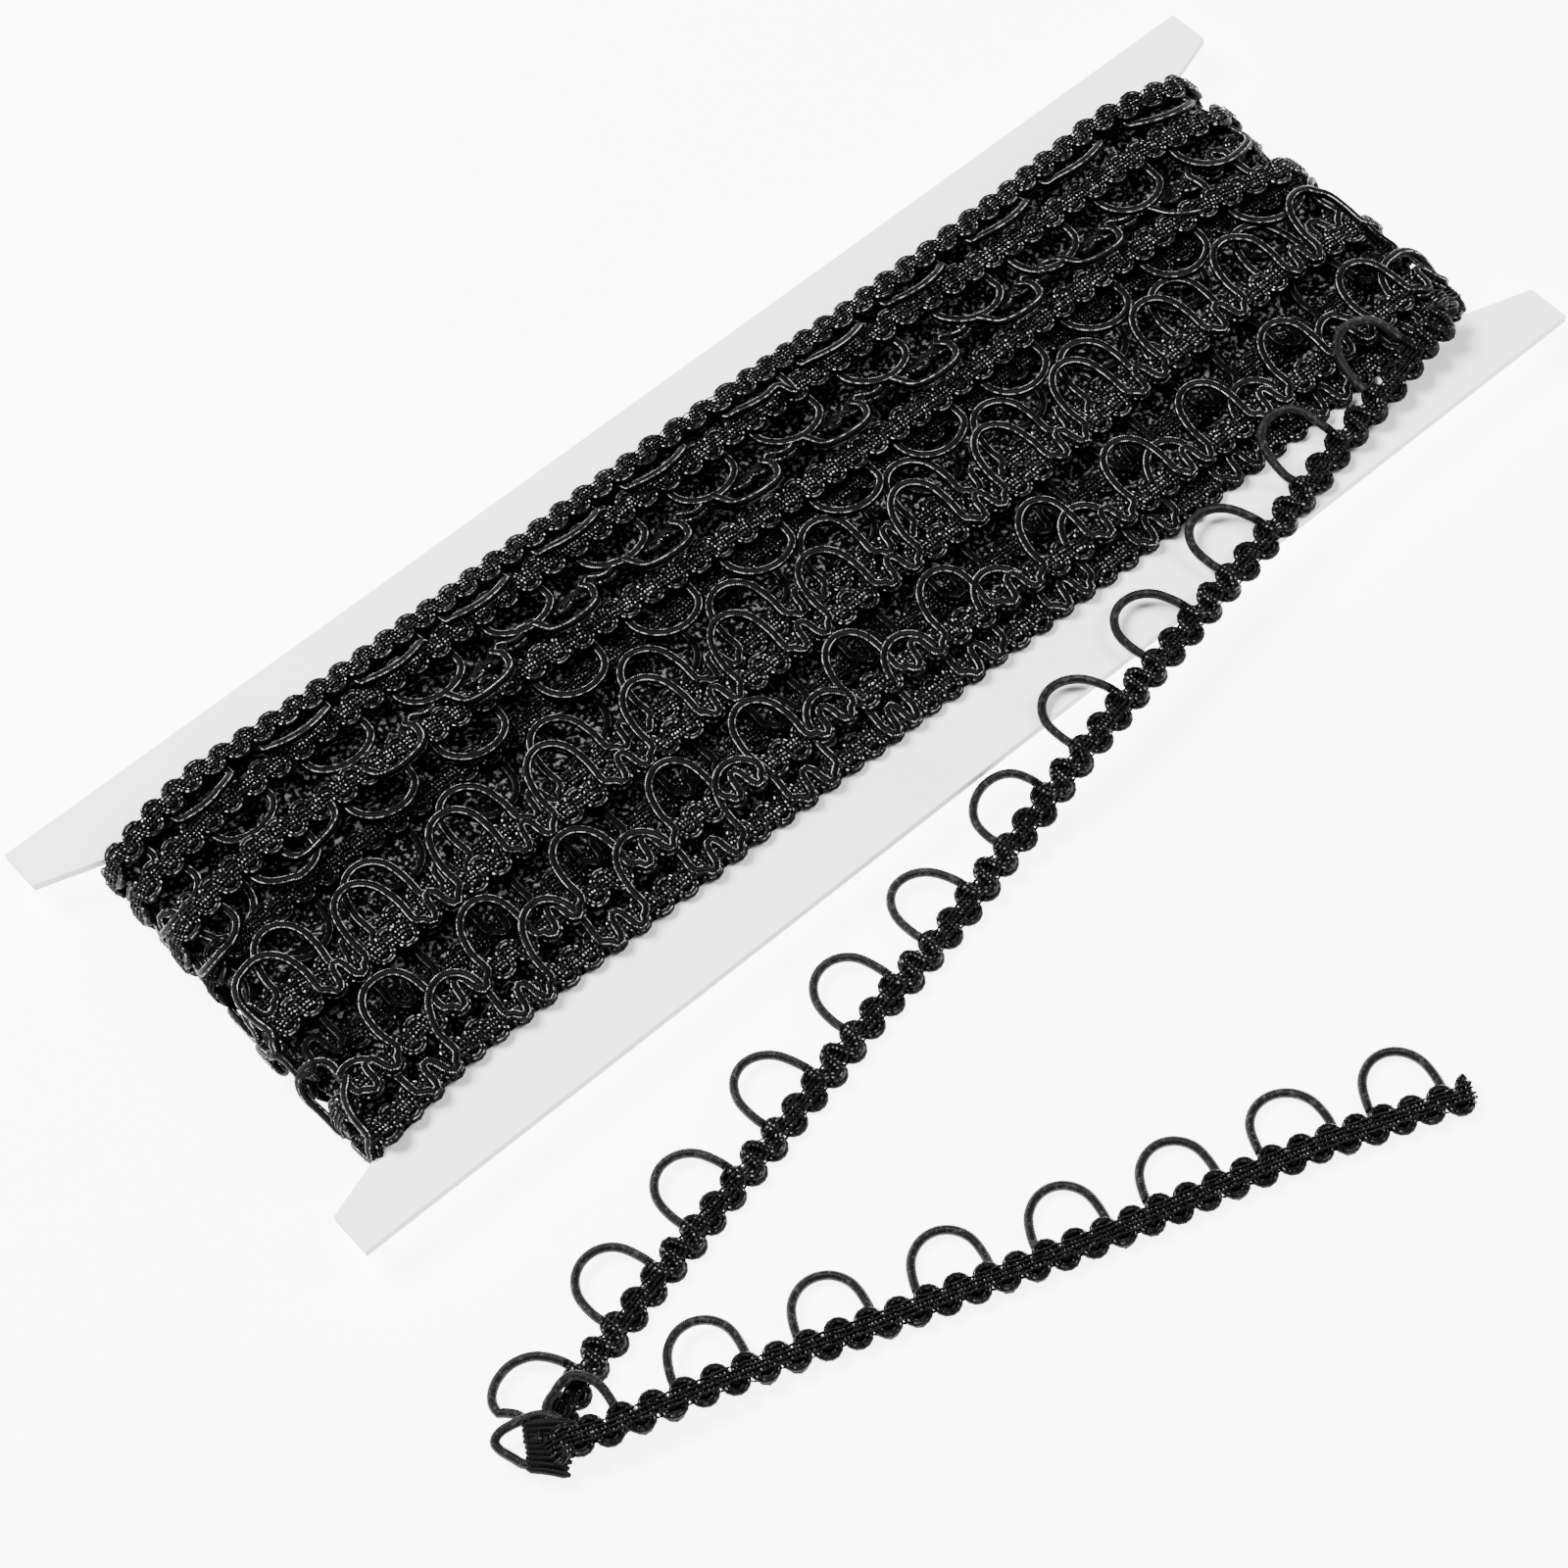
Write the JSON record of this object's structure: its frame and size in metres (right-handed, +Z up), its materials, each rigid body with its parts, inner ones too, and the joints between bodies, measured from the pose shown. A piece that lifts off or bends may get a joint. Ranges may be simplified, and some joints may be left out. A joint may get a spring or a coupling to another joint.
{
  "type": "gimp braid trim on a winding card",
  "caption": "Black gimp braid trim with a row of button loops, wound lengthwise on a flat notched card, one end lying loose and folded back",
  "frame": {"origin": "on the surface the part rests on, at the flat underside of the winding, under the middle of the card", "axes": "X runs along the card and its strands, Y across the card away from the loose end, Z up"},
  "size_m": [0.2407, 0.1776, 0.0149],
  "materials": {
    "trim": "black rayon gimp cord and yarn, wrapped ribs, fine satin sparkle",
    "card": "plain white card, smooth and slightly matt, grey cut edge"
  },
  "bodies": {
    "root": {"card": "card", "winding": "trim", "loose_end": "trim"}
  },
  "joints": []
}
